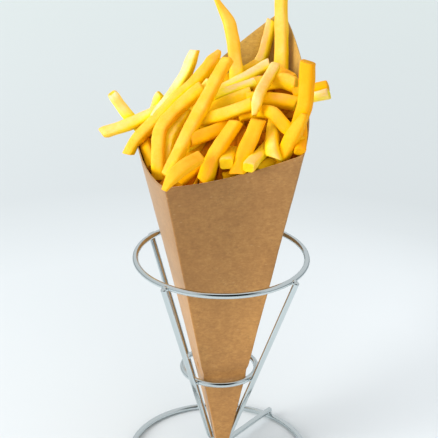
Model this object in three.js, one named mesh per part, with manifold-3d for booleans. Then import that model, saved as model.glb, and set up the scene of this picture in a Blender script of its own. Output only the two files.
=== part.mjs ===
// French fries in a folded kraft board cone, held upright by a chromed wire stand.
// Millimetres, +Z up. Everything is laid out from the stand's own axis, and the whole
// part is then moved so that its origin is the middle of its footprint, on the table.
import * as THREE from 'three';
import * as BufferGeometryUtils from 'three/addons/utils/BufferGeometryUtils.js';
import Module from 'manifold-3d';

const wasm = await Module();
wasm.setup();

const radians = THREE.MathUtils.degToRad;
const GAP = 0.3;                    // clearance left between neighbouring pieces

// Wire stand
const WIRE = 3.4;                   // wire diameter
const BASE_RING = { radius: 52.7, height: WIRE / 2, steps: 44 };
const SMALL_RING = { radius: 21.7, height: 61.1, steps: 28 };
const TOP_RING = { radius: 49, height: 132.7, steps: 44 };
const V_BEND_STEPS = 8;
const V_WIRE_OUTSET = 3.3;          // V wires run this far outside both holding rings
const CROSSBAR_TURN = 306.8;        // degrees, from +X towards the front
const WIRE_SIDES = 8;

// Board cone: a square pyramid of four equal panels, standing on its tip and leaning back
const TIP = new THREE.Vector3(2.4, -12.5, -1.5);
const LEAN = 9.05;                  // degrees from upright
const LEAN_TOWARDS = 101.1;         // degrees from +X, so to the back
const SPIN = -31.7;                 // degrees, turns the creases about the cone's axis
const HALF_DIAGONAL = 15.87;        // degrees between the axis and each crease
const BOARD = 0.6;
const BLUNT_TIP = 2.5;              // the creases start this far from the sharp tip
const HOLLOW_START = 9;
const RIM = { low: 190, rise: 28, lowAt: 0.25 };   // crease length, see rimDistance
const BULGE = { frontLeft: 3.2, backLeft: 0, front: 0, right: 7.4 };  // by the fries' push
const PANEL_STEPS = 6;
const BOARD_ROWS = [0, 0.4, 0.6, 0.8, 1];

// Heap of fries
const HEAP = { bottom: 32, belowRim: 7, highest: 232, top: [3, 30, 212], swell: 5 };
const FRY_WIDTH = 7.6;
const SEED = 11;
// Fries of the heap's skin lean from `from` to `to` of the way in to its top
const COURSES = [
  { count: 22, from: 0.07, to: 0.62, lift: 0.5 },
  { count: 13, from: 0.4, to: 1, lift: 2.5 },
];

const chrome = new THREE.MeshStandardMaterial({ color: 0xc9d2d6, roughness: 0.18, metalness: 1 });
const kraft = new THREE.MeshStandardMaterial({ color: 0xb4895a, roughness: 0.85, metalness: 0 });
const potato = new THREE.MeshStandardMaterial({ color: 0xffc93a, roughness: 0.55, metalness: 0 });

const part = new THREE.Group();
const stand = new THREE.Group();
part.add(stand);

function piece(name, geometry, material) {
  const mesh = new THREE.Mesh(geometry, material);
  mesh.name = name;
  stand.add(mesh);
  return mesh;
}

// A closed body through equal rings of points, with a fan over each end.
function loft(rings) {
  const count = rings[0].length;
  const positions = rings.flat().flatMap((p) => [p.x, p.y, p.z]);
  const indices = [];
  for (let r = 0; r + 1 < rings.length; r++) {
    for (let i = 0; i < count; i++) {
      const a = r * count + i;
      const b = r * count + (i + 1) % count;
      indices.push(a, b, b + count, a, b + count, a + count);
    }
  }
  for (const end of [0, rings.length - 1]) {
    const middle = new THREE.Vector3();
    rings[end].forEach((p) => middle.addScaledVector(p, 1 / count));
    const centre = positions.length / 3;
    positions.push(middle.x, middle.y, middle.z);
    for (let i = 0; i < count; i++) {
      const a = end * count + i;
      const b = end * count + (i + 1) % count;
      indices.push(...(end === 0 ? [b, a, centre] : [a, b, centre]));
    }
  }
  const geometry = new THREE.BufferGeometry();
  geometry.setAttribute('position', new THREE.Float32BufferAttribute(positions, 3));
  geometry.setIndex(indices);
  return geometry;
}

// A bar along a line of points. Its section has corners at the given radius, the first
// one turned by `twist` from the side that faces `up`.
function bar(points, radius, sides, twist, up) {
  return loft(points.map((point, i) => {
    const before = points[Math.max(i - 1, 0)];
    const after = points[Math.min(i + 1, points.length - 1)];
    const along = after.clone().sub(before).normalize();
    const side = new THREE.Vector3().crossVectors(up, along).normalize();
    const over = new THREE.Vector3().crossVectors(along, side);
    return Array.from({ length: sides }, (_, k) => {
      const angle = twist + 2 * Math.PI * k / sides;
      return point.clone().addScaledVector(side, radius * Math.cos(angle))
        .addScaledVector(over, radius * Math.sin(angle));
    });
  }));
}

// manifold-3d's solid of a closed geometry, and back
function solid(geometry) {
  const bare = geometry.clone();
  bare.deleteAttribute('normal');
  bare.deleteAttribute('uv');
  const merged = BufferGeometryUtils.mergeVertices(bare, 1e-4);
  return new wasm.Manifold(new wasm.Mesh({
    numProp: 3,
    vertProperties: merged.attributes.position.array,
    triVerts: new Uint32Array(merged.index.array),
  }));
}

function geometryOf(manifold) {
  const mesh = manifold.getMesh();
  const geometry = new THREE.BufferGeometry();
  geometry.setAttribute('position', new THREE.BufferAttribute(new Float32Array(mesh.vertProperties), 3));
  geometry.setIndex(new THREE.BufferAttribute(new Uint32Array(mesh.triVerts), 1));
  return geometry;
}

// ---- Wire stand: round wire, with flats where pieces meet ----

const cornerOf = (wireRadius) => wireRadius / Math.cos(Math.PI / WIRE_SIDES);

function ring({ radius, height, steps }, wireRadius = WIRE / 2) {
  const corner = cornerOf(wireRadius);
  const profile = Array.from({ length: WIRE_SIDES + 1 }, (_, k) => {
    const angle = 2 * Math.PI * (k + 0.5) / WIRE_SIDES;
    return new THREE.Vector2(radius + corner * Math.cos(angle), corner * Math.sin(angle));
  });
  const geometry = new THREE.LatheGeometry(profile, steps);
  geometry.rotateX(Math.PI / 2);
  geometry.translate(0, 0, height);
  return geometry;
}

// Points in the upright plane through the stand's axis that faces `turn`
function inPlane(turn, outwards, height) {
  const angle = radians(turn);
  return new THREE.Vector3(outwards * Math.cos(angle), -outwards * Math.sin(angle), height);
}

function crossbar() {
  const height = 1.5 * WIRE + GAP;
  const half = BASE_RING.radius + WIRE / 2;
  const ends = [inPlane(CROSSBAR_TURN, -half, height), inPlane(CROSSBAR_TURN, half, height)];
  return bar(ends, cornerOf(WIRE / 2), WIRE_SIDES, Math.PI / WIRE_SIDES, new THREE.Vector3(0, 0, 1));
}

// A wire bent to a V: two straight legs, tangent to a bend that rests on what is below
function vWire(turn, bottom) {
  const slope = (TOP_RING.radius - SMALL_RING.radius) / (TOP_RING.height - SMALL_RING.height);
  const legAngle = Math.atan(slope);
  const topRadius = TOP_RING.radius + V_WIRE_OUTSET;
  const sharpPoint = TOP_RING.height - topRadius / slope;
  const bend = (bottom - sharpPoint) / (1 / Math.sin(legAngle) - 1);
  const bendCentre = bottom + bend;
  const sweep = Math.PI / 2 - legAngle;
  const points = [inPlane(turn, -topRadius, TOP_RING.height)];
  for (let i = 0; i <= V_BEND_STEPS; i++) {
    const angle = sweep * (2 * i / V_BEND_STEPS - 1);
    points.push(inPlane(turn, bend * Math.sin(angle), bendCentre - bend * Math.cos(angle)));
  }
  points.push(inPlane(turn, topRadius, TOP_RING.height));
  const planeNormal = inPlane(turn + 90, 1, 0);
  return bar(points, cornerOf(WIRE / 2), WIRE_SIDES, Math.PI / WIRE_SIDES, planeNormal);
}

// The V wires are pressed a little into both holding rings, and are notched to fit them
function notched(wire) {
  const rings = [SMALL_RING, TOP_RING].map((held) => solid(ring(held, WIRE / 2 + GAP)));
  return geometryOf(solid(wire).subtract(wasm.Manifold.union(rings)));
}

piece('base_ring', ring(BASE_RING), chrome);
piece('crossbar', crossbar(), chrome);
piece('v_wire_lower', notched(vWire(CROSSBAR_TURN + 90, 2.5 * WIRE + 2 * GAP)), chrome);
piece('v_wire_upper', notched(vWire(CROSSBAR_TURN, 3.5 * WIRE + 3 * GAP)), chrome);
piece('small_ring', ring(SMALL_RING), chrome);
piece('top_ring', ring(TOP_RING), chrome);

// ---- Board cone ----

const axis = new THREE.Vector3(
  Math.sin(radians(LEAN)) * Math.cos(radians(LEAN_TOWARDS)),
  Math.sin(radians(LEAN)) * Math.sin(radians(LEAN_TOWARDS)),
  Math.cos(radians(LEAN)),
);
const across = new THREE.Vector3().crossVectors(new THREE.Vector3(0, 1, 0), axis).normalize();
across.applyAxisAngle(axis, radians(SPIN));

// Creases in order round the cone, from the high back one, by the left, and back to it
const creases = [90, 180, 270, 0].map((turn) => {
  const outwards = across.clone().applyAxisAngle(axis, radians(turn));
  return axis.clone().addScaledVector(outwards, Math.tan(radians(HALF_DIAGONAL))).normalize();
});
const panelBulge = [BULGE.backLeft, BULGE.frontLeft, BULGE.front, BULGE.right];
const panelAngle = creases[0].angleTo(creases[1]);
// how far the tip moves up the axis when all four panels move inwards by one millimetre
const tipShift = 1 / Math.sin(Math.atan(Math.tan(radians(HALF_DIAGONAL)) * Math.SQRT1_2));

// `s` counts panels from the front crease: 0 at the front, 2 and -2 at the back one.
// The die-cut rim is a parabola in s: lowest beside the front crease, a peak at the back.
function rimDistance(s) {
  return RIM.low + RIM.rise * (Math.abs(s) - RIM.lowAt) ** 2;
}

// A point on the panels at s, `distance` from the tip, moved inwards by `inset`
function onPanel(s, distance, inset) {
  const place = THREE.MathUtils.clamp(s + 2, 0, 4 - 1e-9);
  const panel = Math.floor(place);
  const f = place - panel;
  const from = creases[panel];
  const to = creases[(panel + 1) % 4];
  const direction = from.clone().multiplyScalar(Math.sin((1 - f) * panelAngle))
    .addScaledVector(to, Math.sin(f * panelAngle)).divideScalar(Math.sin(panelAngle));
  const outwards = new THREE.Vector3().crossVectors(to, from).normalize();
  const upPanel = THREE.MathUtils.smoothstep(distance / rimDistance(s), 0.35, 1);
  const bulge = panelBulge[panel] * (4 * f * (1 - f)) ** 0.75 * upPanel;
  const shift = inset * tipShift;
  return TIP.clone().addScaledVector(axis, shift)
    .addScaledVector(direction, distance - shift * axis.dot(direction))
    .addScaledVector(outwards, bulge);
}

function around(distance, inset) {
  return Array.from({ length: 4 * PANEL_STEPS }, (_, i) => {
    const s = i / PANEL_STEPS - 2;
    return onPanel(s, distance(s), inset);
  });
}

// Rings up the outside of the board and back down its inside, with every face moved out
// of the board by `grow`
function boardWall(grow) {
  const upTo = (start, t) => (s) => start + (rimDistance(s) - start) * t + (t === 1 ? grow : 0);
  const outside = BOARD_ROWS.map((t) => around(upTo(BLUNT_TIP, t), -grow));
  const inside = BOARD_ROWS.map((t) => around(upTo(HOLLOW_START, t), BOARD + grow));
  return [...outside, ...inside.reverse()];
}

piece('paper_cone', loft(boardWall(0)), kraft);

// ---- Fries: a packed core that fills the cone, with the fries of its skin fused on ----

const heapTop = new THREE.Vector3(...HEAP.top);
const heapEdge = (s) => Math.min(rimDistance(s) - HEAP.belowRim, HEAP.highest);

// A point on the core's skin, `inwards` of the way from its edge at s to its top
function onHeap(s, inwards) {
  const point = onPanel(s, heapEdge(s), BOARD + GAP).lerp(heapTop, inwards);
  point.z += HEAP.swell * Math.sin(Math.PI * inwards);
  return point;
}

function heapCore() {
  const wall = [() => HEAP.bottom, (s) => heapEdge(s) * 0.6, heapEdge];
  const rings = wall.map((distance) => around(distance, BOARD + GAP));
  for (const inwards of [0.35, 0.7, 0.9]) {
    rings.push(rings[0].map((_, i) => onHeap(i / PANEL_STEPS - 2, inwards)));
  }
  return loft(rings);
}

// A fry is a square bar through its points
function fry(width, points) {
  const line = points.map((p) => (p.isVector3 ? p : new THREE.Vector3(...p)));
  const up = new THREE.Vector3(0.3, -0.4, 0.87);
  return bar(line, width * Math.SQRT1_2, 4, Math.PI / 4, up);
}

// Fries that stand out of the heap or hang over the rim: width, then points along each
const standing = [
  [7.6, [31, 81, 268], [34, 61, 219]],
  [6.8, [29, 82, 249], [19, 74, 227], [11, 64, 217]],
  [6.4, [-6, 64, 267], [2, 66, 256], [5, 65, 244], [7, 56, 221]],
  [6.0, [-18, 62, 235], [-24, 54, 220], [-34, 42, 207]],
  [6.4, [-4, 58, 237], [-17, 48, 222]],
  [7.6, [3, 38, 240], [-22, 8, 198], [-32, -14, 190]],
];
const overLeftRim = [
  [8.0, [-9, 44, 227], [-32, 40, 207], [-54, 35, 184]],
  [6.6, [-65, 47, 215], [-48, 43, 197]],
  [6.6, [-71, 40, 193], [-56, 40, 198], [-39, 40, 205]],
  [6.4, [-37, 52, 215], [-42, 48, 202]],
];
const overRightRim = [
  [8.0, [46, 7, 247], [41, 7, 215], [37, 8, 203]],
  [7.0, [59, 30, 228], [39, 31, 220], [20, 33, 213]],
  [6.2, [59, 21, 225], [43, 21, 218], [25, 24, 211]],
];
const alongFrontRim = [
  [7.6, [-29, -36, 188], [-23, -32, 196], [-14, -20, 200], [-4, -9, 203]],
  [9.0, [9, 2, 215], [-1, -8, 203], [-10, -15, 184]],
  [9.2, [18, 2, 217], [13, -5, 203], [9, -12, 190]],
  [8.4, [-14, 34, 221], [-36, 16, 204], [-35, -10, 187]],
  [7.6, [41, 0, 215], [33, -9, 201]],
];

// The rest of the heap's skin: fries spread evenly round it in courses, each swung
// sideways by a drawn amount
function randomDraws(seed) {
  let state = seed;
  return () => {
    state = (state * 16807) % 2147483647;
    return state / 2147483647;
  };
}

function skinFries() {
  const draw = randomDraws(SEED);
  const wrap = (s) => THREE.MathUtils.euclideanModulo(s + 2, 4) - 2;
  return COURSES.flatMap(({ count, from, to, lift }) => Array.from({ length: count }, (_, i) => {
    const s = 4 * (i + 0.6 * draw()) / count - 2;
    const swing = 1.3 * (draw() - 0.5);
    const ends = [onHeap(wrap(s), from), onHeap(wrap(s + swing), to)];
    ends.forEach((end) => { end.z += lift + 1.5 * draw(); });
    return fry(FRY_WIDTH * (0.85 + 0.25 * draw()), ends);
  }));
}

function fries() {
  const listed = [...standing, ...overLeftRim, ...overRightRim, ...alongFrontRim];
  const bars = listed.map(([width, ...points]) => fry(width, points));
  const joined = wasm.Manifold.union([heapCore(), ...bars, ...skinFries()].map(solid));
  // a fry across the rim rests on it, so the board is cut out with its clearance
  const clear = joined.subtract(solid(loft(boardWall(GAP))));
  const [heap] = clear.decompose().sort((a, b) => b.volume() - a.volume());
  return geometryOf(heap);
}

piece('fries', fries(), potato);

// Origin: the middle of the footprint, on the table
const box = new THREE.Box3().setFromObject(part, true);
stand.position.set(-(box.min.x + box.max.x) / 2, -(box.min.y + box.max.y) / 2, -box.min.z);
part.updateMatrixWorld(true);

export default part;
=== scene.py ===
import random
from math import atan, cos, pi, radians, sin, sqrt, tan

import bpy
import numpy as np
from mathutils import Matrix, Vector, noise
from mathutils.bvhtree import BVHTree


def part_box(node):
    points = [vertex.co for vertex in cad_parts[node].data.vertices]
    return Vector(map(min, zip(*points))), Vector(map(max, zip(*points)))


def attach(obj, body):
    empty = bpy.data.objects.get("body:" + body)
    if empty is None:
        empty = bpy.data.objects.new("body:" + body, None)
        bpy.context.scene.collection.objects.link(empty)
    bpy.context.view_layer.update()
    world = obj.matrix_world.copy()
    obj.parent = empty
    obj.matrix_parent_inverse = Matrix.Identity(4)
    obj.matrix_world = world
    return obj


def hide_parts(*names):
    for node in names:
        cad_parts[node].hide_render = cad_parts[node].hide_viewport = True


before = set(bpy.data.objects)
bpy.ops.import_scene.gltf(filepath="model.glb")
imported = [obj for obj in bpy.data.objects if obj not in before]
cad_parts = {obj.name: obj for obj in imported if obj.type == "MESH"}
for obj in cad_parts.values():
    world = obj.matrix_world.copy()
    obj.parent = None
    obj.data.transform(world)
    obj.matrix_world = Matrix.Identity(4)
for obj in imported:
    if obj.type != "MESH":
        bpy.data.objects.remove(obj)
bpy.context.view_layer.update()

# ---- Camera ----
# A long lens at arm's length, well above the rim, looking down at the front of the
# cone. Everything is placed from the stand's own axis, which the base ring gives.

MM = 0.001
ring_low, ring_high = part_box("base_ring")
STAND_AXIS = np.array([(ring_low.x + ring_high.x) / 2, (ring_low.y + ring_high.y) / 2, 0]) / MM

CAMERA_AT = np.array([0.0, -756.6, 496.3])      # mm from the stand's axis
CAMERA_DOWN, CAMERA_TURN, CAMERA_ROLL = 24.19, 0.12, 0.86   # degrees
CAMERA_LENS = 120.7                             # mm

camera_data = bpy.data.cameras.new("camera")
camera_data.lens = CAMERA_LENS
camera = bpy.data.objects.new("camera", camera_data)
camera.matrix_world = (
    Matrix.Translation(Vector((CAMERA_AT + STAND_AXIS) * MM))
    @ Matrix.Rotation(radians(CAMERA_TURN), 4, "Z")
    @ Matrix.Rotation(radians(90 - CAMERA_DOWN), 4, "X")
    @ Matrix.Rotation(radians(CAMERA_ROLL), 4, "Z")
)
bpy.context.scene.collection.objects.link(camera)
bpy.context.scene.camera = camera
bpy.context.scene.view_settings.view_transform = "Standard"

# ---- Light and floor ----
# A bright studio: light from all round, a large soft lamp from the upper left, and a pale
# seamless floor with painted light on it, a little brighter in a pool round the stand.


class Shade:
    """A socket of a material, so that shader maths reads as arithmetic."""

    def __init__(self, tree, socket):
        self.tree = tree
        self.socket = socket

    def math(self, operation, first, second=None):
        node = self.tree.nodes.new("ShaderNodeMath")
        node.operation = operation
        for value, entry in zip((first, second), node.inputs):
            connect(self.tree, value, entry)
        return Shade(self.tree, node.outputs[0])

    def __add__(self, other):
        return self.math("ADD", self, other)

    def __sub__(self, other):
        return self.math("SUBTRACT", self, other)

    def __rsub__(self, other):
        return self.math("SUBTRACT", other, self)

    def __mul__(self, other):
        return self.math("MULTIPLY", self, other)

    def __truediv__(self, other):
        return self.math("DIVIDE", self, other)

    __radd__ = __add__
    __rmul__ = __mul__

    def size(self):
        return self.math("ABSOLUTE", self)

    def clamped(self):
        return self.math("MINIMUM", self.math("MAXIMUM", self, 0), 1)


def connect(tree, value, entry):
    """Puts a number, a colour or another socket into a socket."""
    if isinstance(value, Shade):
        tree.links.new(value.socket, entry)
    elif value is not None:
        entry.default_value = value


class Nodes:
    """The nodes of a material or of the world, added one by one."""

    def __init__(self, tree, shader):
        self.tree = tree
        self.shader = tree.nodes[shader]

    def set(self, **values):
        for name, value in values.items():
            connect(self.tree, value, self.shader.inputs[name.replace("_", " ")])

    def node(self, kind, settings=None, output=0, **inputs):
        """Adds a node: its settings first, then its sockets, named with _ for a space."""
        node = self.tree.nodes.new("ShaderNode" + kind)
        for name, value in (settings or {}).items():
            if name == "stops":
                while len(node.color_ramp.elements) < len(value):
                    node.color_ramp.elements.new(1)
                for element, (position, colour) in zip(node.color_ramp.elements, value):
                    element.position = position
                    element.color = colour
            else:
                setattr(node, name, value)
        for name, value in inputs.items():
            place = name.replace("_", " ")
            entry = node.inputs[int(place[5:])] if place[:5] == "input" else node.inputs[place]
            connect(self.tree, value, entry)
        return Shade(self.tree, node.outputs[output])

    def mix(self, share, first, second, blend="MIX"):
        """A colour between two, by a share from 0 to 1."""
        settings = {"data_type": "RGBA", "blend_type": blend}
        return self.node("Mix", settings, output=2, input0=share, input6=first, input7=second)

    def noise(self, place, scale, detail, roughness=0.5):
        return self.node("TexNoise", Vector=place, Scale=scale, Detail=detail,
                         Roughness=roughness)

    def place(self):
        """Where a point of the surface lies, in metres."""
        return self.node("TexCoord", output="Object")

    def rise(self, value, start, full, kind="LINEAR"):
        """From 0 to 1 as a value goes from `start` to `full`."""
        return self.node("MapRange", {"interpolation_type": kind}, Value=value,
                         From_Min=start, From_Max=full)

    def bump(self, height, depth_mm):
        return self.node("Bump", Height=height, Distance=depth_mm * MM, Strength=1.0)


class Finish(Nodes):
    """A material with constants on its shader, to which nodes can be added."""

    def __init__(self, name, **constants):
        self.material = bpy.data.materials.new(name)
        self.material.use_nodes = True
        super().__init__(self.material.node_tree, "Principled BSDF")
        self.set(**constants)


def opaque(colour):
    return (*colour, 1.0)


FLOOR_FADE = 1.05                    # m from the axis at which the floor is at its palest
FLOOR_HALF = 2.6                     # m from the middle to each side
# painted light: the floor's colour is lighter and darker with the distance from the axis, as the
# light on it falls off
FLOOR_PAINTED_LIGHT_STOPS = ((0.0, opaque((0.69, 0.735, 0.76))), (0.27, opaque((0.69, 0.735, 0.76))),
               (0.40, opaque((0.62, 0.665, 0.685))), (1.0, opaque((0.75, 0.82, 0.82))))
# painted light: a paler patch to the right of the stand, over the soft shadow that it casts there:
# m to the side where it is full, m from the axis where it has ended, and m over which it ends
PATCH_SIDE, PATCH_END, PATCH_EDGE = 0.14, 0.36, 0.15
PAINTED_LIGHT_PATCH_COLOUR = (0.755, 0.80, 0.83)
# painted reflection: off the white sheet, on both sides, the floor is painted dark only where the
# bright wires mirror it, as a dark room
SHEET_HALF, SHEET_EDGE = 0.35, 0.25  # m to each side
PAINTED_DARK_ROOM = (0.20, 0.22, 0.23)

floor_finish = Finish("pale_floor", Roughness=0.75, Specular_IOR_Level=0.2)
floor_place = floor_finish.place()
from_axis = floor_finish.node("VectorMath", {"operation": "DISTANCE"}, output="Value",
                              input0=floor_place, input1=tuple(STAND_AXIS * MM))
floor_colour_and_light = floor_finish.node("ValToRGB", {"stops": FLOOR_PAINTED_LIGHT_STOPS}, Fac=from_axis / FLOOR_FADE)
to_side = floor_finish.node("SeparateXYZ", output="X", Vector=floor_place)
off_sheet = ((to_side.size() - SHEET_HALF) / SHEET_EDGE).clamped()
on_painted_light_patch = (to_side / PATCH_SIDE).clamped() * ((PATCH_END - from_axis) / PATCH_EDGE).clamped()
# painted light that lightens the stand's shadow to its right
floor_colour_and_light = floor_finish.mix(on_painted_light_patch, floor_colour_and_light, opaque(PAINTED_LIGHT_PATCH_COLOUR))
in_mirror = floor_finish.node("LightPath", output="Is Glossy Ray")
# painted reflection: dark off the sheet, but only in what the wires mirror
floor_finish.set(Base_Color=floor_finish.mix(off_sheet * in_mirror, floor_colour_and_light,
                                             opaque(PAINTED_DARK_ROOM)))

floor_mesh = bpy.data.meshes.new("floor")
floor_corners = [(x * FLOOR_HALF, y * FLOOR_HALF, 0) for x, y in
                 ((-1, -1), (1, -1), (1, 1), (-1, 1))]
floor_mesh.from_pydata(floor_corners, [], [(0, 1, 2, 3)])
floor_mesh.materials.append(floor_finish.material)
floor = bpy.data.objects.new("floor", floor_mesh)
bpy.context.scene.collection.objects.link(floor)

SKY_STOPS = ((0.0, (0.80, 0.84, 0.86, 1.0)), (0.5, (0.70, 0.75, 0.78, 1.0)),
             (0.62, (0.94, 0.97, 0.99, 1.0)), (1.0, (1.0, 1.0, 1.0, 1.0)))
SKY_LIGHT = 0.80
# what the bright wires mirror: the dark end of the room behind the camera, and a thin line,
# a little darker, where the floor meets the walls
DARK_END = (0.185, -0.743, 0.643)    # the way to its middle
DARK_EDGES = (0.74, 0.94)            # cosines from its middle where it ends and is full
HORIZON_HALF, HORIZON_EDGE = 0.05, 0.10
HORIZON_DARK = 0.15                  # share of its light that the line loses

world = bpy.data.worlds.new("studio")
bpy.context.scene.world = world
world.use_nodes = True
sky = Nodes(world.node_tree, "Background")
sky_way = sky.node("TexCoord", output="Generated")
upwards = sky.node("SeparateXYZ", output="Z", Vector=sky_way)
in_mirror = sky.node("LightPath", output="Is Glossy Ray")
to_dark_end = sky.node("VectorMath", {"operation": "DOT_PRODUCT"}, output="Value",
                       input0=sky_way, input1=DARK_END)
dark_end = sky.rise(to_dark_end, *DARK_EDGES, kind="SMOOTHSTEP")
horizon = 1 - ((upwards.size() - HORIZON_HALF) / HORIZON_EDGE).clamped()
sky_colour = sky.node("ValToRGB", {"stops": SKY_STOPS}, Fac=upwards * 0.5 + 0.5)
room_light = (1 - in_mirror * dark_end) * (1 - in_mirror * horizon * HORIZON_DARK) * SKY_LIGHT
sky.set(Color=sky_colour, Strength=room_light)


def soft_lamp(name, place, aim, size, watts, colour):
    """A round lamp, `size` wide, that shines from a place at a point, all in metres."""
    lamp = bpy.data.lights.new(name, "AREA")
    lamp.shape = "DISK"
    lamp.size = size
    lamp.energy = watts
    lamp.color = colour
    holder = bpy.data.objects.new(name, lamp)
    holder.location = place
    holder.rotation_euler = (Vector(aim) - Vector(place)).to_track_quat("-Z", "Y").to_euler()
    holder.visible_glossy = False        # the wires mirror the room, not the lamps
    bpy.context.scene.collection.objects.link(holder)


soft_lamp("left_lamp", (-1.7, -0.9, 0.75), (0, 0, 0.15), 1.4, 50.0, (1.0, 0.98, 0.95))
soft_lamp("top_lamp", (0.1, 0.2, 1.35), (0, 0, 0.2), 0.8, 2.0, (1.0, 1.0, 1.0))
soft_lamp("front_lamp", (0.45, -1.1, 0.35), (0, 0, 0.12), 0.7, 3.0, (1.0, 0.97, 0.93))

# ---- Wire stand ----
# Rings and bent wires of bright chromed steel wire, spot-welded where they touch. The V
# wires cross at the bottom over a crossbar, which lies across the ring that stands on the
# table, and carry the two rings that hold the cone.

WIRE = 3.4                           # its thickness: from here on, sizes are in mm
GAP = 0.3                            # between wires, which only the welds join
BASE_RING = (52.7, WIRE / 2)         # radius and height of each ring's middle
SMALL_RING = (21.7, 61.1)
TOP_RING = (49.0, 132.7)
RING_STEPS = 144
V_WIRE_OUTSET = 3.3                  # of its middle, from the middle of a holding ring's wire
CROSSBAR_TURN = 306.8                # degrees, from +X towards the front
BAR_STEPS = 12
BEND_STEPS = 25
WIRE_SIDES = 24
WIRE_END = ((0.0, 0.55), (0.18, 0.82), (0.45, 0.96), (0.8, 1.0))    # mm in, share of radius
CHROME_ROUGHNESS, CHROME_HAZE = 0.07, 0.08      # at its brightest, and what haze adds at most


def piece(name, points, faces, finish, node=None):
    """A smooth mesh from points in mm from the stand's axis, which rides on the part."""
    mesh = bpy.data.meshes.new(name)
    mesh.from_pydata(((np.asarray(points) + STAND_AXIS) * MM).tolist(), [], faces)
    mesh.polygons.foreach_set("use_smooth", [True] * len(mesh.polygons))
    mesh.materials.append(finish.material)
    obj = bpy.data.objects.new(name, mesh)
    bpy.context.scene.collection.objects.link(obj)
    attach(obj, "root")
    if node:
        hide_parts(node)
    return obj


def unit(vectors):
    """Vectors of the same directions, each 1 long."""
    return vectors / np.linalg.norm(vectors, axis=-1, keepdims=True)


def round_turns(count):
    """Angles evenly spaced once round, in radians."""
    return 2 * pi * np.arange(count) / count


def tube_faces(rings, sides, closed=False):
    """Faces between neighbouring rings of points, and over both ends of an open tube."""
    faces = []
    for ring in range(rings if closed else rings - 1):
        here = ring * sides
        there = (ring + 1) % rings * sides
        for k in range(sides):
            nearby = (k + 1) % sides
            faces.append((here + k, here + nearby, there + nearby, there + k))
    if not closed:
        faces.append(tuple(range(sides))[::-1])
        faces.append(tuple(range((rings - 1) * sides, rings * sides)))
    return faces


def shifted(faces, base):
    """The same faces, for points that come after `base` others."""
    return [tuple(base + index for index in face) for face in faces]


def sweep(line, outlines, up, closed=False):
    """Points and faces of a skin through an outline (across, over) at each point of a line."""
    line = np.asarray(line, float)
    if closed:
        along = unit(np.roll(line, -1, 0) - np.roll(line, 1, 0))
    else:
        along = unit(np.gradient(line, axis=0))
    side = unit(np.cross(up, along))
    over = np.cross(along, side)
    outlines = np.broadcast_to(outlines, (len(line), *np.shape(outlines)[-2:]))
    points = (line[:, None] + outlines[..., :1] * side[:, None]
              + outlines[..., 1:] * over[:, None])
    return points.reshape(-1, 3), tube_faces(*points.shape[:2], closed)


def round_outline(radius):
    turns = round_turns(WIRE_SIDES)
    return np.stack([radius * np.cos(turns), radius * np.sin(turns)], -1)


def wire_with_ends(line, up):
    """A wire along a line, its two ends rounded over by a blunt dome."""
    line = np.asarray(line, float)
    first, last = unit(line[1] - line[0]), unit(line[-2] - line[-1])
    points = ([line[0] + first * step for step, _ in WIRE_END] + list(line[1:-1])
              + [line[-1] + last * step for step, _ in WIRE_END[::-1]])
    end_shares = [share for _, share in WIRE_END]
    shares = end_shares + [1] * (len(line) - 2) + end_shares[::-1]
    outlines = np.array([round_outline(WIRE / 2 * share) for share in shares])
    return sweep(points, outlines, up)


def in_plane(turn, outwards, height):
    """A point in the upright plane through the stand's axis that faces `turn`."""
    return np.array([outwards * cos(radians(turn)), -outwards * sin(radians(turn)), height])


chrome = Finish("bright_chrome", Metallic=1.0, Base_Color=opaque((0.62, 0.68, 0.69)))
chrome_place = chrome.place()
chrome_haze = chrome.noise(chrome_place, 260.0, detail=2.0)
chrome.set(Roughness=chrome_haze * CHROME_HAZE + CHROME_ROUGHNESS)
chrome_ripple = chrome.noise(chrome_place, 420.0, detail=1.0)
chrome.set(Normal=chrome.bump(chrome_ripple, depth_mm=0.012))

for name, (radius, height) in (("base_ring", BASE_RING), ("small_ring", SMALL_RING),
                               ("top_ring", TOP_RING)):
    turns = round_turns(RING_STEPS)
    circle = np.stack([radius * np.cos(turns), radius * np.sin(turns),
                       np.full(RING_STEPS, height)], -1)
    points, faces = sweep(circle, round_outline(WIRE / 2), (0, 0, 1), closed=True)
    piece(name + "_wire", points, faces, chrome, name)

# the bar and the two V wires each lie a gap above what is under them
bar_height = 1.5 * WIRE + GAP
bar_half = BASE_RING[0] + WIRE / 2
bar_line = [in_plane(CROSSBAR_TURN, share * bar_half, bar_height)
            for share in np.linspace(-1, 1, BAR_STEPS)]
points, faces = wire_with_ends(bar_line, (0, 0, 1))
piece("crossbar_wire", points, faces, chrome, "crossbar")

V_SLOPE = (TOP_RING[0] - SMALL_RING[0]) / (TOP_RING[1] - SMALL_RING[1])
V_TOP = TOP_RING[0] + V_WIRE_OUTSET


def v_line(turn, bottom):
    """The middle line of a V wire: two straight legs, tangent to a round bend."""
    lean = atan(V_SLOPE)
    sharp_point = TOP_RING[1] - V_TOP / V_SLOPE
    bend = (bottom - sharp_point) / (1 / sin(lean) - 1)
    sweep_each_way = pi / 2 - lean
    line = [in_plane(turn, -V_TOP, TOP_RING[1])]
    for angle in np.linspace(-sweep_each_way, sweep_each_way, BEND_STEPS):
        line.append(in_plane(turn, bend * sin(angle), bottom + bend - bend * cos(angle)))
    line.append(in_plane(turn, V_TOP, TOP_RING[1]))
    return line


for name, turn, bottom in (("v_wire_lower", CROSSBAR_TURN + 90, 2.5 * WIRE + 2 * GAP),
                           ("v_wire_upper", CROSSBAR_TURN, 3.5 * WIRE + 3 * GAP)):
    points, faces = wire_with_ends(v_line(turn, bottom), in_plane(turn + 90, 1, 0))
    piece(name + "_bent", points, faces, chrome, name)

# ---- Welds ----
# Where two wires touch, the spot weld has squeezed out a small smooth bead of metal that
# the chrome covers.

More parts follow.
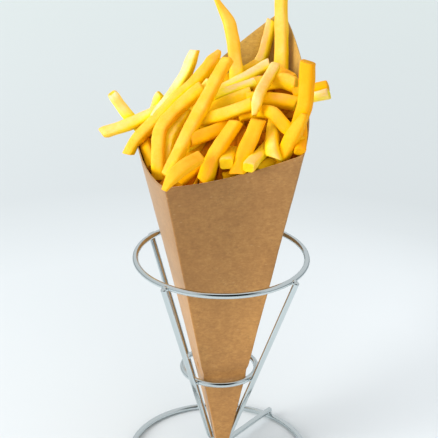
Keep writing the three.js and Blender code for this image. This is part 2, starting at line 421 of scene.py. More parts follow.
WELD = (2.3, 1.5, 1.5)               # half length along the wire, and the two other halves
WELD_RINGS, WELD_SIDES = 8, 14
WELD_DROP = 0.3                      # of the holding rings' welds below the rings' middles


def weld_bead(centre, along):
    """A small squashed ball, long way along one of the wires."""
    turn = Vector(along).normalized().to_track_quat("X", "Z").to_matrix()
    points = []
    for ring in range(1, WELD_RINGS):
        polar = pi * ring / WELD_RINGS
        for k in range(WELD_SIDES):
            angle = 2 * pi * k / WELD_SIDES
            local = Vector((WELD[0] * cos(polar), WELD[1] * sin(polar) * cos(angle),
                            WELD[2] * sin(polar) * sin(angle)))
            points.append(np.array(turn @ local) + centre)
    return points, [face[::-1] for face in tube_faces(WELD_RINGS - 1, WELD_SIDES)]


weld_points, weld_faces = [], []


def add_weld(centre, along):
    points, faces = weld_bead(np.array(centre), along)
    weld_faces.extend(shifted(faces, len(weld_points)))
    weld_points.extend(points)


for quarter in range(4):
    turn = CROSSBAR_TURN + 90 * quarter
    for radius, height in (SMALL_RING, TOP_RING):
        add_weld(in_plane(turn, radius + V_WIRE_OUTSET / 2, height - WELD_DROP),
                 in_plane(turn + 90, 1, 0))
for way in (-1, 1):
    add_weld(in_plane(CROSSBAR_TURN, way * BASE_RING[0], WIRE + GAP / 2),
             in_plane(CROSSBAR_TURN + 90, 1, 0))
for height in (2 * WIRE + 1.5 * GAP, 3 * WIRE + 2.5 * GAP):
    add_weld((0, 0, height), in_plane(CROSSBAR_TURN, 1, 0))
piece("weld_beads", weld_points, weld_faces, chrome)

# ---- Board cone ----
# One sheet of brown kraft board, creased into four flat panels that meet at a point, with
# the fourth crease glued. It leans back in the rings, and the fries push its sides out.

TIP = np.array([2.4, -12.5, -1.5])   # where the outer faces would meet if it weren't blunt
LEAN, LEAN_TOWARDS, SPIN = 9.05, 101.1, -31.7   # degrees
HALF_DIAGONAL = 15.87                # degrees from the cone's axis to a crease
BOARD = 0.6                          # its thickness
BLUNT_TIP, HOLLOW_START = 2.5, 9     # up from the tip: where its outside and inside start
# the cut: how far up from the tip it is lowest, how it rises from there with the square of
# the panels away, and how many panels each side of the front crease its low points are
RIM_LOW, RIM_RISE, RIM_LOW_AT = 190, 28, 0.25
BULGE = (0, 3.2, 0, 7.4)             # back left, front left, front and right panel
BULGE_START = 0.35                   # share of the way up
BULGE_POWER = 0.85                   # 1 is a parabola across the panel, less is fuller
CREASE_ROUND = 0.6                   # mm of board each side of a crease that is curved
CREASE_MOST = 0.2                    # share of a panel that this may be, near the tip
NEAR_CREASE = 0.012                  # share of a panel from a crease to the nearest points
JUST_SHORT, JUST_PAST = 1e-9, 1e-7   # panels: to stay on the one side of a crease
PANEL_STEPS = 27
CREASE_STEPS = 6
BOARD_ROWS = 96
EDGE_IN, EDGE_RISE = 0.14, 0.12      # share of the thickness and mm by which the cut is rounded
WAVES = ((0.25, 26), (0.09, 9))      # mm high, mm long
WAVES_SET_IN = (4, 14)               # between these distances from the axis
DENT, DENT_ABOVE, DENT_HALF = 0.8, 4.4, 2.2     # mm deep, above the small ring, half high
DENT_BEFORE = -5                     # Y: it is only in front of this

cone_axis = np.array([sin(radians(LEAN)) * cos(radians(LEAN_TOWARDS)),
                      sin(radians(LEAN)) * sin(radians(LEAN_TOWARDS)), cos(radians(LEAN))])
level = unit(np.cross((0, 1, 0), cone_axis))
square_to_level = np.cross(cone_axis, level)


def crease(turn):
    """The direction of a crease, at an angle about the cone's axis."""
    angle = radians(SPIN + turn)
    outwards = cos(angle) * level + sin(angle) * square_to_level
    return unit(cone_axis + tan(radians(HALF_DIAGONAL)) * outwards)


CREASES = [crease(turn) for turn in (90, 180, 270, 360)]
PANEL_ANGLE = np.arccos(CREASES[0] @ CREASES[1])
PANEL_OUTWARDS = [unit(np.cross(CREASES[(panel + 1) % 4], CREASES[panel])) for panel in range(4)]
TIP_SHIFT = 1 / sin(atan(tan(radians(HALF_DIAGONAL)) / sqrt(2)))    # up the axis, for 1 inwards


def rim_distance(around):
    """How far up from the tip the board is cut, `around` panels from the front crease."""
    return RIM_LOW + RIM_RISE * (abs(around) - RIM_LOW_AT) ** 2


def smooth_step(value, low, high):
    share = np.clip((value - low) / (high - low), 0, 1)
    return share * share * (3 - 2 * share)


def bulge(panel, across, up):
    """How far a panel is pushed out, at the shares `across` and `up` of its size."""
    hump = np.clip(4 * across * (1 - across), 0, 1) ** BULGE_POWER
    return BULGE[panel] * hump * smooth_step(up, BULGE_START, 1)


def on_panel(around, distance, inset):
    """The point of the cone at `around` (-2 to 2), `distance` up from the tip, `inset` in."""
    place = min(max(around + 2, 0), 4 - JUST_SHORT)
    panel = int(place)
    across = place - panel
    direction = (sin((1 - across) * PANEL_ANGLE) * CREASES[panel]
                 + sin(across * PANEL_ANGLE) * CREASES[(panel + 1) % 4])
    direction = direction / sin(PANEL_ANGLE)
    pushed_out = bulge(panel, across, distance / rim_distance(around))
    shift = inset * TIP_SHIFT
    return (TIP + cone_axis * shift + direction * (distance - shift * (cone_axis @ direction))
            + PANEL_OUTWARDS[panel] * pushed_out)


def crease_reach(distance):
    """How far each side of a crease the board is curved, as a share of a panel."""
    return min(CREASE_ROUND / (distance * PANEL_ANGLE), CREASE_MOST)


def over_crease(panel, across, distance, inset):
    """A point of the curve over a panel's first crease, `across` it from 0 to 1."""
    reach = crease_reach(distance)
    before = on_panel((panel - reach) % 4 - 2, distance, inset)
    corner = on_panel(panel - 2 + JUST_PAST, distance, inset)
    after = on_panel(panel - 2 + reach, distance, inset)
    return ((1 - across) ** 2 * before + 2 * across * (1 - across) * corner
            + across * across * after)


def board_ring(share, start, inset):
    """One row of points round the board, from where it starts (0) to its rim (1)."""
    def up_to_rim(around):
        return start + (rim_distance(around) - start) * share

    ring = []
    for panel in range(4):
        distance = up_to_rim(panel - 2)
        for across in np.linspace(0, 1, CREASE_STEPS, endpoint=False):
            ring.append(over_crease(panel, across, distance, inset))
        for across in (0, NEAR_CREASE, *np.linspace(0, 1, PANEL_STEPS)[1:-1], 1 - NEAR_CREASE):
            reach = crease_reach(up_to_rim(panel - 2 + across))
            around = panel - 2 + reach + across * (1 - 2 * reach)
            ring.append(on_panel(around, up_to_rim(around), inset))
    return ring


def dented(points):
    """Small unevenness of the board: a slow waviness, and the dent that a ring has left."""
    out = []
    for point in points:
        outward = point - TIP
        outward = outward - cone_axis * (outward @ cone_axis)
        size = np.linalg.norm(outward)
        if size < 1:
            out.append(point)
            continue
        outward /= size
        wave = sum(height * noise.noise(Vector(point) / length) for height, length in WAVES)
        above_ring = (point[2] - SMALL_RING[1] - DENT_ABOVE) / DENT_HALF
        dent = -DENT * np.exp(-above_ring ** 2) * (point[1] < DENT_BEFORE)
        out.append(point + outward * (wave * smooth_step(size, *WAVES_SET_IN) + dent))
    return out


rows = np.linspace(0, 1, BOARD_ROWS)
outside = [dented(board_ring(share, BLUNT_TIP, 0.0)) for share in rows]
inside = [dented(board_ring(share, HOLLOW_START, BOARD)) for share in rows]
round_edge = [[((1 - inwards) * a + inwards * b) + cone_axis * EDGE_RISE
               for a, b in zip(outside[-1], inside[-1])] for inwards in (EDGE_IN, 1 - EDGE_IN)]
board_rings = np.array(outside + round_edge + inside[::-1])
board_points = board_rings.reshape(-1, 3)
board_faces = tube_faces(*board_rings.shape[:2])

CLOUDY_SHARE, FIBRES_SHARE, PULP_SHARE = 0.30, 0.42, 0.28        # of its mottled tone
KRAFT_STOPS = ((0.30, opaque((0.198, 0.087, 0.023))), (0.50, opaque((0.282, 0.134, 0.036))),
               (0.70, opaque((0.380, 0.200, 0.058))))
FLECK, FLECK_STRENGTH, FLECK_EDGES = (0.13, 0.062, 0.02), 0.45, (0.03, 0.09)
PALE_FIBRE, PALE_FIBRE_STRENGTH, PALE_FIBRE_EDGES = (0.50, 0.33, 0.15), 0.25, (0.04, 0.12)
# painted shade: thin dark lines where the board is wrinkled, standing for the shade of its wrinkles
WRINKLE_SHADE, WRINKLE_SHADE_STRENGTH = (0.14, 0.068, 0.022), 0.30
WRINKLE_EDGES = (0.006, 0.026)       # off the noise's middle: where it is full, and has ended
WRINKLED_OVER, WRINKLED_GAIN = 0.42, 5          # the painted wrinkle shade comes only where the clouds are dense
LOW_DOWN, LOW_DOWN_PAINTED_LIGHT = (0.165, 0.085), (1.42, 1.42, 1.42)    # m up: painted light, paler low down where light from the floor falls
TO_RIGHT, TO_RIGHT_PAINTED_LIGHT = (0.008, 0.034), (1.24, 1.25, 1.30)    # m across: and painted light, paler to the right
INNER_PALE_AND_LIT = (1.50, 1.90, 1.5)       # the inner side is paler, and painted yellower with the light that the fries throw on it

kraft = Finish("kraft_board", Roughness=0.55, Specular_IOR_Level=0.40, Sheen_Weight=0.50,
               Sheen_Roughness=0.4, Sheen_Tint=opaque((1.0, 0.86, 0.70)))
kraft_place = kraft.place()
stretched = kraft.node("Mapping", Vector=kraft_place, Scale=(0.5, 0.5, 1.0))
cloudy = kraft.noise(kraft_place, 55.0, detail=4.0, roughness=0.6)
fibres = kraft.noise(stretched, 900.0, detail=4.0, roughness=0.7)
pulp = kraft.noise(kraft_place, 300.0, detail=3.0, roughness=0.65)
tone = cloudy * CLOUDY_SHARE + fibres * FIBRES_SHARE + pulp * PULP_SHARE
kraft_colour = kraft.node("ValToRGB", {"stops": KRAFT_STOPS}, Fac=tone)
fleck = kraft.node("TexVoronoi", {"feature": "F1"}, Vector=kraft_place, Scale=190.0)
fleck = 1 - kraft.rise(fleck, *FLECK_EDGES)
kraft_colour = kraft.mix(fleck * FLECK_STRENGTH, kraft_colour, opaque(FLECK))
pale_fibre = kraft.node("TexVoronoi", {"feature": "F1"}, Vector=stretched, Scale=230.0)
pale_fibre = 1 - kraft.rise(pale_fibre, *PALE_FIBRE_EDGES)
kraft_colour = kraft.mix(pale_fibre * PALE_FIBRE_STRENGTH, kraft_colour, opaque(PALE_FIBRE))
# painted shade along the wrinkles
wrinkle_shade = kraft.noise(stretched, 170.0, detail=3.0, roughness=0.6) - 0.5
wrinkle_shade = 1 - kraft.rise(wrinkle_shade.size(), *WRINKLE_EDGES)
wrinkle_shade = wrinkle_shade * ((cloudy - WRINKLED_OVER) * WRINKLED_GAIN).clamped()
kraft_colour = kraft.mix(wrinkle_shade * WRINKLE_SHADE_STRENGTH, kraft_colour, opaque(WRINKLE_SHADE))
# painted light: the board is made lighter low down and to the right
for axis, edges, painted_light in (("Z", LOW_DOWN, LOW_DOWN_PAINTED_LIGHT), ("X", TO_RIGHT, TO_RIGHT_PAINTED_LIGHT)):
    along_axis = kraft.node("SeparateXYZ", output=axis, Vector=kraft_place)
    kraft_colour = kraft.mix(kraft.rise(along_axis, *edges, kind="SMOOTHSTEP"), kraft_colour,
                             opaque(painted_light), "MULTIPLY")
inner_side = kraft.node("Attribute", {"attribute_name": "inner_side"}, output="Fac")
kraft_colour = kraft.mix(inner_side, kraft_colour, opaque(INNER_PALE_AND_LIT), "MULTIPLY")
kraft.set(Base_Color=kraft_colour, Normal=kraft.bump(fibres * 0.6 + pulp * 0.4, depth_mm=0.05))

cone = piece("kraft_cone", board_points, board_faces, kraft, "paper_cone")
is_inside = np.zeros(board_rings.shape[:2], np.float32)
is_inside[len(outside) + 1:] = 1     # from the middle of the cut edge inwards
layer = cone.data.attributes.new("inner_side", "FLOAT", "POINT")
layer.data.foreach_set("value", is_inside.ravel())

# ---- Fries ----
# Thin-cut sticks of potato, fried golden and soft enough to bend. The ones that show lie
# where they fell: some stand up at the back, some hang over the rim. More of them are
# packed under those, round a core that fills the cone.

FRY_STEP = 1.6                       # mm between rings along a fry
FRY_SIDES = 20
SQUARENESS = 5.0                     # of its section: 2 is round, more is squarer
# The forms of an end: how wide it is at its tip, how many widths it narrows over, its slant.
# They are blunt, cut askew, wedge, tapered, round, dull, pointed and long
ENDS = {"b": (1.0, 1.0, 0.0), "c": (1.0, 1.0, 0.12), "w": (1.0, 1.0, 0.55),
        "t": (0.66, 1.1, 0.0), "r": (0.62, 0.45, 0.0), "d": (0.35, 1.3, 0.0),
        "p": (0.25, 2.6, 0.0), "l": (0.80, 3.0, 0.0)}

# Each fry: its width, its tone (about 0 for pale to 1 for golden), the forms of its first and
# last end, degrees it is turned on its side, mm that it is sunk past its last point, and the
# points along it
OVER_THE_RIM = (
    (6.8, -0.09, "rb", -6, 12, ((-65, 50, 213), (-56, 52, 199), (-47, 51, 189))),
    (7.4, 0.24, "rb", 8, 14, ((-71, 44, 190), (-59, 45, 194), (-49, 46, 198), (-39, 47, 203))),
    (6.8, 0.19, "rb", 0, 10, ((-37, 56, 211), (-39, 55, 204), (-42, 51, 197))),
    (8.2, 0.56, "dl", 10, 0,
     ((-3, 60, 236), (-9, 51, 230), (-19, 44, 220), (-27, 41, 213), (-39, 38, 201),
      (-50, 36, 190), (-55, 35, 181))),
    (8.0, 0.76, "db", -6, 1, ((-31, -37, 189), (-27, -34, 195), (-21, -28, 199), (-13, -20, 201))),
    (7.0, 1.15, "bb", 20, 4, ((58, 18, 230), (43, 21, 225))),
    (6.2, -0.20, "bb", 8, 4, ((58, 9, 229), (47, 12, 225))),
)
STANDING_FRIES = (
    (8.1, 0.41, "bb", 14, 22, ((33, 84, 268), (33, 73, 246), (33, 62, 229), (33, 54, 223))),
    (6.8, 0.13, "bb", 12, 10,
     ((28, 84, 248), (25, 79, 236), (22, 74, 228), (17, 68, 221), (12, 63, 217))),
    (7.9, 0.47, "pb", -8, 14,
     ((-6, 66, 267), (-2, 66, 260), (1, 65, 255), (3, 64, 250), (5, 62, 241),
      (6, 59, 232), (7, 51, 225))),
    (7.6, 0.06, "tb", 8, 14, ((-17, 62, 236), (-21, 59, 225), (-26, 55, 217), (-32, 47, 210))),
    (8.6, 1.07, "cb", 6, 12, ((45, 2, 250), (45, 1, 238), (44, 0, 226), (42, -1, 218))),
    (6.6, 1.15, "bb", -8, 2, ((43, 5, 214), (43, 0, 208), (42, -9, 203))),
)
LYING_FRIES = (
    (7.8, 0.60, "bb", 14, 0,
     ((2, 36, 239), (-6, 24, 227), (-17, 6, 210), (-24, -8, 199), (-30, -16, 188))),
    (8.7, 0.77, "bb", 16, 0, ((7, 2, 214), (2, -3, 207), (-5, -11, 198), (-10, -16, 185))),
    (8.8, 0.96, "bb", -14, 0, ((19, -4, 218), (16, -6, 209), (12, -10, 201), (8, -16, 190))),
    (7.4, 0.25, "bb", 10, 8, ((14, -22, 197), (24, 0, 200))),
    (8.2, 0.38, "bb", 6, 8, ((2, -17, 197), (4, -6, 197))),
    (7.8, 0.30, "wb", 12, 2, ((29, -11, 196), (27, -8, 202), (27, -2, 206), (28, 8, 211))),
    (8.8, 0.91, "db", 8, 10, ((44, -7, 223), (42, -8, 218), (38, -8, 210), (34, -6, 200))),
    (7.4, 0.71, "bb", 10, 6,
     ((8, 13, 213), (16, 14, 215), (22, 11, 217), (27, 6, 218), (32, 2, 214), (38, -2, 209))),
    (8.8, 0.58, "bb", -14, 12, ((41, 27, 227), (34, 32, 228), (27, 35, 226))),
    (8.6, 0.62, "bb", -10, 8, ((41, 17, 220), (31, 19, 221), (21, 20, 221))),
    (6.4, 0.24, "bd", -6, 0, ((29, 39, 235), (24, 27, 230), (19, 10, 226), (17, 2, 218))),
    (7.0, 0.02, "bb", 8, 8, ((26, 50, 232), (16, 46, 227), (5, 42, 222), (-4, 35, 219))),
    (6.2, -0.22, "bb", 6, 6, ((22, 39, 226), (13, 36, 224), (-1, 31, 221))),
    (8.4, 0.36, "bb", -12, 4, ((16, 30, 221), (8, 29, 218), (0, 28, 215), (-7, 26, 212))),
    (8.2, 0.55, "bb", 8, 3, ((16, 12, 221), (1, 12, 215), (-11, 15, 210))),
    (8.0, 0.87, "bb", -8, 8, ((9, 18, 209), (-1, 10, 207), (-12, 3, 205))),
    (8.6, 0.58, "bb", 12, 0,
     ((-12, 35, 222), (-24, 29, 213), (-34, 20, 204), (-36, 16, 197), (-36, 11, 188), (-35, 8, 177))),
    (7.6, 0.75, "bb", 8, 4, ((-47, 44, 188), (-43, 33, 183), (-40, 23, 180))),
    (6.6, 0.75, "bb", 0, 4, ((-43, 35, 177), (-40, 30, 173), (-38, 24, 168))),
    (7.6, 1.15, "bb", 0, 4, ((-25, -16, 184), (-19, -11, 188), (-13, -6, 192))),
    (7.0, 0.76, "bb", 0, 4, ((0, -12, 186), (16, -7, 189))),
    (7.0, 0.54, "bb", 0, 4, ((19, -12, 191), (32, -1, 195))),
    (7.4, 0.22, "bb", 0, 4, ((-18, -12, 180), (-14, -1, 188))),
    (8.4, 0.65, "bb", 6, 4, ((-22, 1, 192), (-10, 11, 196), (2, 21, 200))),
    (8.0, -0.10, "bb", 6, 4, ((-21, 3, 199), (-10, 11, 203), (1, 20, 206))),
    (6.6, 0.16, "bb", 6, 2,
     ((-33, 12, 182), (-31, 16, 193), (-29, 19, 199), (-25, 27, 205), (-18, 35, 213))),
    (6.4, 0.13, "bb", 6, 4, ((-19, 29, 210), (-15, 34, 215), (-10, 39, 221))),
    (6.8, 0.41, "bb", 0, 6, ((-1, 51, 220), (7, 58, 222), (15, 64, 225))),
    (7.4, 0.86, "bb", 8, 6, ((40, 36, 227), (33, 46, 227), (26, 52, 226))),
)

# Fries laid by rule under those: round the heap in courses, each leaning from `low` to `high`
# of the way in to its top, and sunk under its skin by `sunk` mm, less at the back
COURSES = (
    {"count": 22, "low": 0.04, "high": 0.55, "sunk": 10.0},
    {"count": 20, "low": 0.10, "high": 0.80, "sunk": 9.0},
    {"count": 14, "low": 0.45, "high": 1.15, "sunk": 8.5},
)
BACK_RISE, BACK_STARTS, BACK_FULL = 7.0, 0.9, 1.6       # mm, and panels from the front crease
COURSE_SHIFT = 0.6                   # most that a fry is off its even place in its course
COURSE_SWING = 1.5                   # panels: the range of its upper end, round the heap
COURSE_LIFT = 2.5                    # most that its upper end is raised
COURSE_BEND, COURSE_BOW = 2, 1.5     # most to each side, and always upwards, at its middle
COURSE_WIDTHS, COURSE_TONES = (6.6, 8.4), (0.5, 0.95)
SEED = 11
HEAP_BELOW_RIM, HEAP_HIGHEST = 7, 232           # the heap's edge: mm under the rim, up from the tip
HEAP_TOP = np.array([3, 30, 212])
HEAP_SWELL = 5                       # of its skin over a straight slope
CLEARANCE = 0.45                     # between the fries and the board
HELD_PAST_PANEL, HELD_PAST_RIM = 0.15, 0.5      # share of a panel, mm: where the board holds
CURVE_STEPS = 24
END_RINGS = (0, 0.02, 0.25, 0.8)     # mm from a cut end: close rings that round its edge over
END_NARROWER, END_ROUND = 0.14, 0.8  # share and mm by which that edge is rounded
END_MIDDLE, END_HOLLOW = 0.55, 0.35  # share of the width, and mm that the middle is sunk
TAPER_BEFORE = 0.3                   # widths outside the end where its narrowing would start
CUT_ASKEW, SLANT_REACH = 0.3, 5      # most that is drawn for a cut, mm that a slant reaches in
WANDER, WANDER_LENGTH = (0.45, 0.45, 0.25), 17  # mm each way, mm along
THICK_CHANGE, THICK_LENGTH = 0.13, 15
TWIST, TWIST_LENGTH = 0.25, 30       # radians, mm along
LUMPS, PIMPLES = (0.26, 5.5), (0.07, 1.9)       # of the skin: mm high, mm long
TOAST_REACH = 1.8                    # mm from a cut end


def heap_edge(around):
    return min(rim_distance(around) - HEAP_BELOW_RIM, HEAP_HIGHEST)


def on_heap(around, inwards):
    """A point on the heap's even skin, `inwards` of the way from its edge to its top."""
    around = (around + 2) % 4 - 2
    edge = on_panel(around, heap_edge(around), BOARD + GAP)
    point = edge * (1 - inwards) + HEAP_TOP * inwards
    return point + np.array([0, 0, HEAP_SWELL * sin(pi * min(inwards, 1))])


def kept_inside(points):
    """Points of the food, those under the rim moved in from where the board is."""
    points = np.array(points)
    for panel in range(4):
        outwards = PANEL_OUTWARDS[panel]
        along = np.cross(outwards, CREASES[panel])
        from_tip = points - TIP
        proud = from_tip @ outwards
        across = np.arctan2(-(from_tip @ along), from_tip @ CREASES[panel]) / PANEL_ANGLE
        reach = np.linalg.norm(from_tip - proud[:, None] * outwards, axis=1)
        rim = rim_distance(np.clip(across, 0, 1) + panel - 2)
        limit = bulge(panel, across, reach / rim) - BOARD - CLEARANCE
        held = ((across > -HELD_PAST_PANEL) & (across < 1 + HELD_PAST_PANEL)
                & (reach < rim + HELD_PAST_RIM) & (proud > limit))
        points -= np.where(held, proud - limit, 0)[:, None] * outwards
    return points


def smooth_line(points, step):
    """Points about `step` apart on a curve, closer at its ends, and how far along they are."""
    ends = [2 * points[0] - points[1], *points, 2 * points[-1] - points[-2]]
    fine = []
    for a, b, c, d in zip(ends, ends[1:], ends[2:], ends[3:]):
        for t in np.linspace(0, 1, CURVE_STEPS, endpoint=False):
            fine.append(0.5 * (2 * b + (c - a) * t + (2 * a - 5 * b + 4 * c - d) * t * t
                               + (3 * b - a - 3 * c + d) * t ** 3))
    fine = np.array([*fine, points[-1]])
    length = np.concatenate([[0], np.cumsum(np.linalg.norm(np.diff(fine, axis=0), axis=1))])
    wanted = np.unique(np.concatenate([np.linspace(0, length[-1], int(length[-1] / step) + 2),
                                       END_RINGS, length[-1] - np.array(END_RINGS)]))
    return np.stack([np.interp(wanted, length, fine[:, k]) for k in range(3)], -1), wanted


def fry_section():
    """A square with well rounded corners and slightly swollen sides, of half width 1."""
    turns = round_turns(FRY_SIDES)
    cosines, sines = np.cos(turns), np.sin(turns)
    reach = (np.abs(cosines) ** SQUARENESS + np.abs(sines) ** SQUARENESS) ** (-1 / SQUARENESS)
    return np.stack([reach * cosines, reach * sines], -1)


FRY_SECTION = fry_section()
TOWARDS_FRONT = np.array([-0.12, -0.78, 0.61])   # the way that a fry's broad face looks

fry_points, fry_faces, fry_tints_and_shades, fry_outwards = [], [], [], []
fry_draws = random.Random(SEED)


def lumps(places, size):
    """Smooth unevenness at each of the places, from about -1 to 1."""
    return np.array([noise.noise(Vector(place) / size) for place in places])


def add_fry(width, tone, ends, turn, sunk, points, below_rim=True, deep_shade=0.0):
    """One fry: a swept square whose faces, ends and thickness are all a little uneven."""
    points = [np.array(point, float) for point in points]
    if sunk:
        points.append(points[-1] + unit(points[-1] - points[-2]) * sunk)
    line, at = smooth_line(points, FRY_STEP)
    seed = fry_draws.uniform(0, 40)
    depth_share = fry_draws.uniform(0.84, 1.0)
    roll = fry_draws.uniform(-9, 9) + (turn if points[-1][2] < points[0][2] else -turn)
    keystone = fry_draws.uniform(-0.10, 0.10)
    from_ends = (at, at[-1] - at)

    def changing(length, kind):
        """A slow change along this fry; each kind is another."""
        return lumps([(distance / length, seed, kind) for distance in at], 1)

    line = line + np.stack([changing(WANDER_LENGTH, kind) for kind in (1, 5, 9)], -1) * WANDER
    along = unit(np.gradient(line, axis=0))
    side = unit(np.cross(TOWARDS_FRONT, along))
    over = np.cross(along, side)

    share = 1 + THICK_CHANGE * changing(THICK_LENGTH, 14)
    for form, distance in zip(ends, from_ends):
        tip, reach, _ = ENDS[form]
        rounding = np.sqrt(1 - (1 - np.clip(distance / END_ROUND, 0, 1)) ** 2)
        share *= 1 - END_NARROWER + END_NARROWER * rounding
        share *= tip + (1 - tip) * smooth_step(distance, -TAPER_BEFORE * width, reach * width)
        share[distance == 0] *= END_MIDDLE
    section = FRY_SECTION * (1 + keystone * FRY_SECTION[:, ::-1] * (1, 0)) * (1, depth_share)
    angle = np.radians(roll) + TWIST * changing(TWIST_LENGTH, 21)
    cosine, sine = np.cos(angle)[:, None], np.sin(angle)[:, None]
    across = cosine * section[:, 0] - sine * section[:, 1]
    above = sine * section[:, 0] + cosine * section[:, 1]
    outward = across[..., None] * side[:, None] + above[..., None] * over[:, None]

    # scaled so that the camera sees it `width` wide
    seen_side = unit(np.cross(CAMERA_AT - line, along))
    seen = (outward * seen_side[:, None]).sum(-1)
    half = width / (seen.max(1) - seen.min(1))
    outward *= (half * share)[:, None, None]

    slant = np.zeros(outward.shape[:2])
    for form, distance, way in zip(ends, from_ends, (1, -1)):
        near_end = np.exp(-(distance / SLANT_REACH) ** 2)[:, None] * half[:, None]
        slant += ENDS[form][2] * (across + way) * near_end
        slant += fry_draws.uniform(-CUT_ASKEW, CUT_ASKEW) * across * near_end
    slant[0] += END_HOLLOW
    slant[-1] -= END_HOLLOW

    skin = (line[:, None] + outward + slant[..., None] * along[:, None]).reshape(-1, 3)
    outward = unit(outward.reshape(-1, 3))
    relief = LUMPS[0] * lumps(skin + seed, LUMPS[1]) + PIMPLES[0] * lumps(skin - seed, PIMPLES[1])
    skin = skin + outward * relief[:, None]
    if below_rim:
        skin = kept_inside(skin)

    toast = np.repeat(np.exp(-np.minimum(*from_ends) / TOAST_REACH), FRY_SIDES)
    fry_faces.extend(shifted(tube_faces(len(line), FRY_SIDES), len(fry_points)))
    fry_points.extend(skin)
    fry_outwards.extend(outward)
    fry_tints_and_shades.extend([tone, toasted, deep_shade, 0.0] for toasted in toast)


for fry in OVER_THE_RIM:
    add_fry(*fry, below_rim=False)
for fry in STANDING_FRIES + LYING_FRIES:
    add_fry(*fry)

for course in COURSES:
    for index in range(course["count"]):
        around = 4 * (index + COURSE_SHIFT * fry_draws.random()) / course["count"] - 2
        swing = COURSE_SWING * (fry_draws.random() - 0.5)
        lift = BACK_RISE * smooth_step(abs(around), BACK_STARTS, BACK_FULL) - course["sunk"]
        low_end = on_heap(around, course["low"]) + (0, 0, lift)
        high_end = (on_heap(around + swing, course["high"])
                    + (0, 0, lift + COURSE_LIFT * fry_draws.random()))
        bow = np.array([fry_draws.uniform(-COURSE_BEND, COURSE_BEND),
                        fry_draws.uniform(-COURSE_BEND, COURSE_BEND), COURSE_BOW])
        add_fry(fry_draws.uniform(*COURSE_WIDTHS), fry_draws.uniform(*COURSE_TONES), "bb", 0, 0,
                (low_end, (low_end + high_end) / 2 + bow, high_end), deep_shade=1.0)

# how far each point of the skin is shut in by the fries and the board, from 0 to 1, for the shade
# that is painted between the fries
SHADE_RAYS, SHADE_REACH, SHADE_LIFT = 14, 16.0, 0.4
ray_turn = pi * (3 - sqrt(5)) * np.arange(SHADE_RAYS)
ray_height = 1 - (2 * np.arange(SHADE_RAYS) + 1) / SHADE_RAYS
ray_radius = np.sqrt(1 - ray_height ** 2)
ray_ways = np.stack([ray_radius * np.cos(ray_turn), ray_radius * np.sin(ray_turn), ray_height], -1)
shut_in_by = BVHTree.FromPolygons(np.concatenate([board_points, fry_points]).tolist(),
                                  board_faces + shifted(fry_faces, len(board_points)))
for point, outward, fry_tint_and_shades in zip(fry_points, fry_outwards, fry_tints_and_shades):
    if fry_tint_and_shades[2] == 0:
        start = Vector(point + SHADE_LIFT * outward)
        hits = [shut_in_by.ray_cast(start, Vector(outward + way), SHADE_REACH)[0] for way in ray_ways]
        fry_tint_and_shades[3] = sum(hit is not None for hit in hits) / SHADE_RAYS

POTATO_STOPS = ((0.0, opaque((0.95, 0.69, 0.46))), (0.25, opaque((0.94, 0.59, 0.25))),
                (0.5, opaque((0.93, 0.49, 0.085))), (0.7, opaque((0.92, 0.42, 0.035))),
                (1.0, opaque((0.90, 0.34, 0.012))))
# how golden it is: a start, and what its own tone, its blotches and its grain add
GOLDEN_START, TONE_ADDS, BLOTCH_ADDS, GRAIN_ADDS = 0.2, 0.75, 0.45, 0.2
# painted light: a fry is paler where it faces this way, towards the light, from one cosine off it to
# the other, and painted deeper yellow on its other sides
LIT_SIDE_WAY, LIT_SIDE_EDGES = (-0.36, -0.56, 0.75), (0.1, 1.0)
PAINTED_SHADED_SIDE_TINT = (1.0, 1.08, 0.36)
# painted shade: where a fry is shut in, its colour is made deeper and more saturated
PAINTED_SHADE_FROM, PAINTED_SHADE_GAIN, PAINTED_SHADE_TINT = 0.07, 2.8, (0.97, 1.16, 0.14)
BLOTCHY_TOAST = 1.5                  # how much its blotches count in how its ends are browned
BROWNED, BROWNED_FROM, BROWNED_STRENGTH = (0.52, 0.20, 0.012), 0.42, 0.8
DEEP_SHADE_TINT = (0.62, 0.46, 0.12)       # painted shade of the fries that lie under the others

potato = Finish("fried_potato", Roughness=0.45, Specular_IOR_Level=0.03,
                Specular_Tint=opaque((1.0, 0.85, 0.45)), Subsurface_Weight=0.12,
                Subsurface_Scale=0.003, Subsurface_Radius=(1.0, 0.8, 0.2))
tint = potato.node("Attribute", {"attribute_name": "tint"}, output="Color")
fry_tone = potato.node("SeparateColor", output="Red", Color=tint)
fry_toast = potato.node("SeparateColor", output="Green", Color=tint)
deep_shade_share = potato.node("SeparateColor", output="Blue", Color=tint)
painted_shade = potato.node("Attribute", {"attribute_name": "tint"}, output="Alpha")
painted_shade = ((painted_shade - PAINTED_SHADE_FROM) * PAINTED_SHADE_GAIN).clamped()
potato_place = potato.place()
blotches = potato.noise(potato_place, 120.0, detail=3.0, roughness=0.55)
grain = potato.noise(potato_place, 700.0, detail=3.0, roughness=0.6)
lit_side = potato.node("VectorMath", {"operation": "DOT_PRODUCT"}, output="Value", input1=LIT_SIDE_WAY,
                      input0=potato.node("NewGeometry", output="Normal"))
lit_side = potato.rise(lit_side, *LIT_SIDE_EDGES, kind="SMOOTHSTEP")
golden = (fry_tone * TONE_ADDS + (blotches - 0.5) * BLOTCH_ADDS + (grain - 0.5) * GRAIN_ADDS
          + GOLDEN_START).clamped()
fry_colour = potato.node("ValToRGB", {"stops": POTATO_STOPS}, Fac=golden)
# painted light and shade: paler where it faces the light, deeper yellow on its other sides
painted_shaded_colour = potato.mix(1.0, fry_colour, opaque(PAINTED_SHADED_SIDE_TINT), "MULTIPLY")
fry_colour = potato.mix(lit_side, painted_shaded_colour, fry_colour)
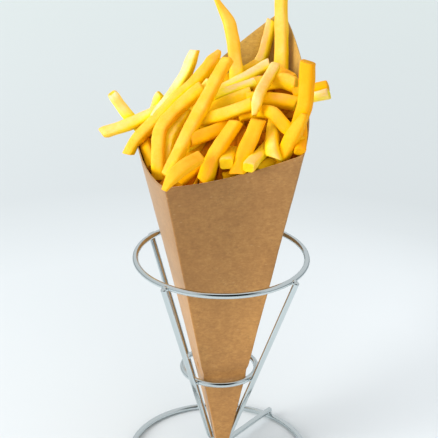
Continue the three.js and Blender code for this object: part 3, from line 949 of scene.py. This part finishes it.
# painted shade between the fries
fry_colour = potato.mix(painted_shade, fry_colour, opaque(PAINTED_SHADE_TINT), "MULTIPLY")
browned = (fry_toast * (blotches * BLOTCHY_TOAST) - BROWNED_FROM).clamped() * BROWNED_STRENGTH
fry_colour = potato.mix(browned, fry_colour, opaque(BROWNED))
# painted shade on the fries that lie under the others
fry_colour = potato.mix(deep_shade_share, fry_colour, opaque(DEEP_SHADE_TINT), "MULTIPLY")
potato.set(Base_Color=fry_colour,
           Normal=potato.bump(grain * 0.6 + blotches * 0.4, depth_mm=0.12))

heap = piece("fries_heap", fry_points, fry_faces, potato, "fries")
layer = heap.data.attributes.new("tint", "FLOAT_COLOR", "POINT")
layer.data.foreach_set("color", np.array(fry_tints_and_shades, np.float32).ravel())

# ---- Packed fries ----
# The mass of fries that fills the cone under the ones that show: it is seen only in the gaps
# between them, and is painted dark and warm as the shade deep in those gaps.

CORE_BOTTOM = 32                     # up from the tip
CORE_SINK = 13                       # how far it lies below the heap's skin
CORE_STEPS, CORE_ROWS = 96, 14       # round it, and up its side
CORE_TOP_ROWS = (0.08, 0.96, 12)     # shares of the way in to the heap's top, and how many
CORE_LUMPS = (1.8, 7)                # mm high, mm long
# painted shade: the core's two colours, dark and warm
CORE_SHADE_DARK, CORE_SHADE_LIGHT = (0.30, 0.085, 0.003), (0.62, 0.26, 0.008)

core_finish = Finish("packed_fries_in_painted_shade", Roughness=0.7, Specular_IOR_Level=0.1)
core_place = core_finish.place()
core_tone = core_finish.noise(core_place, 160.0, detail=2.0)
core_finish.set(Base_Color=core_finish.mix(core_tone, opaque(CORE_SHADE_DARK), opaque(CORE_SHADE_LIGHT)))

core_around = [4 * k / CORE_STEPS - 2 for k in range(CORE_STEPS)]
core_rings = []
for share in np.linspace(0, 1, CORE_ROWS):
    ring = []
    for around in core_around:
        top = heap_edge(around) - CORE_SINK
        distance = CORE_BOTTOM + (top - CORE_BOTTOM) * share
        ring.append(on_panel(around, distance, BOARD + 2 * GAP))
    core_rings.append(ring)
for inwards in np.linspace(*CORE_TOP_ROWS):
    ring = []
    for around in core_around:
        point = on_heap(around, inwards) - (0, 0, CORE_SINK)
        ring.append(point + (0, 0, CORE_LUMPS[0] * noise.noise(Vector(point) / CORE_LUMPS[1])))
    core_rings.append(ring)
core_points = kept_inside(np.array(core_rings).reshape(-1, 3))
piece("fries_core", core_points, tube_faces(len(core_rings), CORE_STEPS), core_finish,
      "fries")
